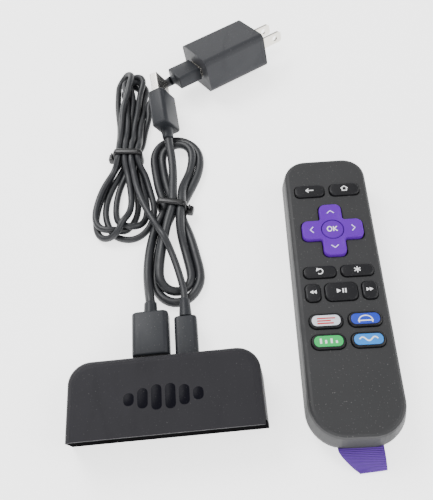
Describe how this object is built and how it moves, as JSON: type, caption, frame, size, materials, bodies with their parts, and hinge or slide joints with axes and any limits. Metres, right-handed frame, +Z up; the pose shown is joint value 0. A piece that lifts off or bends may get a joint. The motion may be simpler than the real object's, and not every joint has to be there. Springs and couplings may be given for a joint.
{
  "type": "streaming media player",
  "caption": "Small black streaming player box with a glossy raked front, a banded video lead, a banded power lead with a wall adapter, and a button remote with a ribbon tag.",
  "frame": {"origin": "centre of the player box's foot face, on the surface that it stands on", "axes": "+X to the player's right seen from the front, +Y from its front to its sockets, +Z up"},
  "size_m": [0.1501, 0.2686, 0.0263],
  "materials": {
    "satin_black": "soft satin black shell, faintly lighter at its edges",
    "dark_plastic": "matte black moulding",
    "smoked_window": "high gloss smoked front window",
    "circuit_board": "green solder mask",
    "tinned_steel": "tinned sheet",
    "thermal_pad": "soft grey-blue pad",
    "spreader_aluminium": "stamped sheet",
    "plug_nickel": "nickel plated plug and socket shells",
    "component_black": "black moulded components",
    "led_lens": "milky lamp lens",
    "screw_steel": "small steel screws",
    "plug_black": "satin black overmoulding",
    "cord_black": "satin black PVC cord jacket",
    "tie_black": "black nylon cable tie",
    "adapter_black": "fine-textured black case",
    "blade_nickel": "nickel plated brass blades",
    "coil_tape": "yellow winding tape",
    "capacitor_sleeve": "shrink sleeve",
    "remote_charcoal": "matte charcoal case",
    "violet_ribbon": "ribbed violet woven ribbon",
    "membrane_rubber": "silicone key mat",
    "led_dark": "dark tinted lamp",
    "battery_sleeve": "plain copper and black cell sleeve",
    "spring_nickel": "nickel plated spring steel",
    "violet_pad": "soft violet key rubber",
    "key_black": "soft black key rubber"
  },
  "bodies": {
    "player": {"top_shell": "satin_black", "base_tray": "dark_plastic", "front_window": "smoked_window", "main_board": "circuit_board", "shield_can": "tinned_steel", "thermal_pad": "thermal_pad", "heat_spreader": "spreader_aluminium", "hdmi_socket": "plug_nickel", "power_socket": "plug_nickel", "reset_switch": "component_black", "ir_receiver": "component_black", "status_led": "led_lens", "board_screws": "screw_steel"},
    "reset_button": {"reset_button": "dark_plastic"},
    "leads": {"hdmi_plug_shell": "plug_nickel", "hdmi_plug_grip": "plug_black", "hdmi_near_lead": "cord_black", "hdmi_hank": "cord_black", "hdmi_far_lead": "cord_black", "hdmi_far_grip": "plug_black", "hdmi_far_shell": "plug_nickel", "hdmi_tie": "tie_black", "power_plug_shell": "plug_nickel", "power_plug_grip": "plug_black", "power_lead": "cord_black", "power_hank": "cord_black", "supply_lead": "cord_black", "supply_plug_grip": "plug_black", "supply_plug_shell": "plug_nickel", "power_tie": "tie_black"},
    "adapter": {"adapter_case": "adapter_black", "adapter_end_cap": "adapter_black", "adapter_blades": "blade_nickel", "adapter_socket": "plug_nickel", "adapter_board": "circuit_board", "adapter_transformer": "coil_tape", "adapter_capacitors": "capacitor_sleeve"},
    "remote": {"remote_top_case": "remote_charcoal", "remote_bottom_case": "remote_charcoal", "key_membrane": "membrane_rubber", "remote_board": "circuit_board", "remote_ir_led": "led_dark", "batteries": "battery_sleeve", "battery_contacts": "spring_nickel"},
    "battery_door": {"battery_door": "remote_charcoal", "remote_tag": "violet_ribbon"},
    "arrow_pad_pivot": {"arrow_pad_pivot": "component_black"},
    "arrow_pad": {"arrow_pad": "violet_pad"},
    "ok_key": {"ok_key": "violet_pad"},
    "back_key": {"back_key": "key_black"},
    "home_key": {"home_key": "key_black"},
    "replay_key": {"replay_key": "key_black"},
    "options_key": {"options_key": "key_black"},
    "rewind_key": {"rewind_key": "key_black"},
    "play_pause_key": {"play_pause_key": "key_black"},
    "fast_forward_key": {"fast_forward_key": "key_black"},
    "app_key_1": {"app_key_1": "key_black"},
    "app_key_2": {"app_key_2": "key_black"},
    "app_key_3": {"app_key_3": "key_black"},
    "app_key_4": {"app_key_4": "key_black"}
  },
  "joints": [
    {"name": "reset_press", "type": "slide", "parent": "player", "child": "reset_button", "axis": [0, -1, 0], "range_m": [0, 0.0005], "stiffness_N_per_m": 500},
    {"name": "leads_unplug", "type": "slide", "parent": "player", "child": "leads", "axis": [0, 1, 0], "range_m": [0, 0.013]},
    {"name": "adapter_unplug", "type": "slide", "parent": "leads", "child": "adapter", "axis": [0.8926, 0.4509, 0], "range_m": [0, 0.013]},
    {"name": "remote_lift", "type": "slide", "parent": "player", "child": "remote", "axis": [0, 0, 1], "range_m": [0, 0.08]},
    {"name": "battery_door_slide", "type": "slide", "parent": "remote", "child": "battery_door", "axis": [-0.0489, -0.9988, 0], "range_m": [0, 0.008]},
    {"name": "arrow_pad_up_down", "type": "hinge", "parent": "remote", "child": "arrow_pad_pivot", "pos_m": [0.0839, 0.0725, 0.0143], "axis": [0.9988, -0.0489, 0], "range_deg": [-2, 2], "stiffness_Nm_per_rad": 0.08},
    {"name": "arrow_pad_left_right", "type": "hinge", "parent": "arrow_pad_pivot", "child": "arrow_pad", "pos_m": [0.0839, 0.0725, 0.0143], "axis": [0.0489, 0.9988, 0], "range_deg": [-2, 2], "stiffness_Nm_per_rad": 0.08},
    {"name": "ok_press", "type": "slide", "parent": "arrow_pad", "child": "ok_key", "axis": [0, 0, -1], "range_m": [0, 0.0008], "stiffness_N_per_m": 800},
    {"name": "back_press", "type": "slide", "parent": "remote", "child": "back_key", "axis": [0, 0, -1], "range_m": [0, 0.0008], "stiffness_N_per_m": 800},
    {"name": "home_press", "type": "slide", "parent": "remote", "child": "home_key", "axis": [0, 0, -1], "range_m": [0, 0.0008], "stiffness_N_per_m": 800},
    {"name": "replay_press", "type": "slide", "parent": "remote", "child": "replay_key", "axis": [0, 0, -1], "range_m": [0, 0.0008], "stiffness_N_per_m": 800},
    {"name": "options_press", "type": "slide", "parent": "remote", "child": "options_key", "axis": [0, 0, -1], "range_m": [0, 0.0008], "stiffness_N_per_m": 800},
    {"name": "rewind_press", "type": "slide", "parent": "remote", "child": "rewind_key", "axis": [0, 0, -1], "range_m": [0, 0.0008], "stiffness_N_per_m": 800},
    {"name": "play_pause_press", "type": "slide", "parent": "remote", "child": "play_pause_key", "axis": [0, 0, -1], "range_m": [0, 0.0008], "stiffness_N_per_m": 800},
    {"name": "fast_forward_press", "type": "slide", "parent": "remote", "child": "fast_forward_key", "axis": [0, 0, -1], "range_m": [0, 0.0008], "stiffness_N_per_m": 800},
    {"name": "app_1_press", "type": "slide", "parent": "remote", "child": "app_key_1", "axis": [0, 0, -1], "range_m": [0, 0.0008], "stiffness_N_per_m": 800},
    {"name": "app_2_press", "type": "slide", "parent": "remote", "child": "app_key_2", "axis": [0, 0, -1], "range_m": [0, 0.0008], "stiffness_N_per_m": 800},
    {"name": "app_3_press", "type": "slide", "parent": "remote", "child": "app_key_3", "axis": [0, 0, -1], "range_m": [0, 0.0008], "stiffness_N_per_m": 800},
    {"name": "app_4_press", "type": "slide", "parent": "remote", "child": "app_key_4", "axis": [0, 0, -1], "range_m": [0, 0.0008], "stiffness_N_per_m": 800}
  ]
}
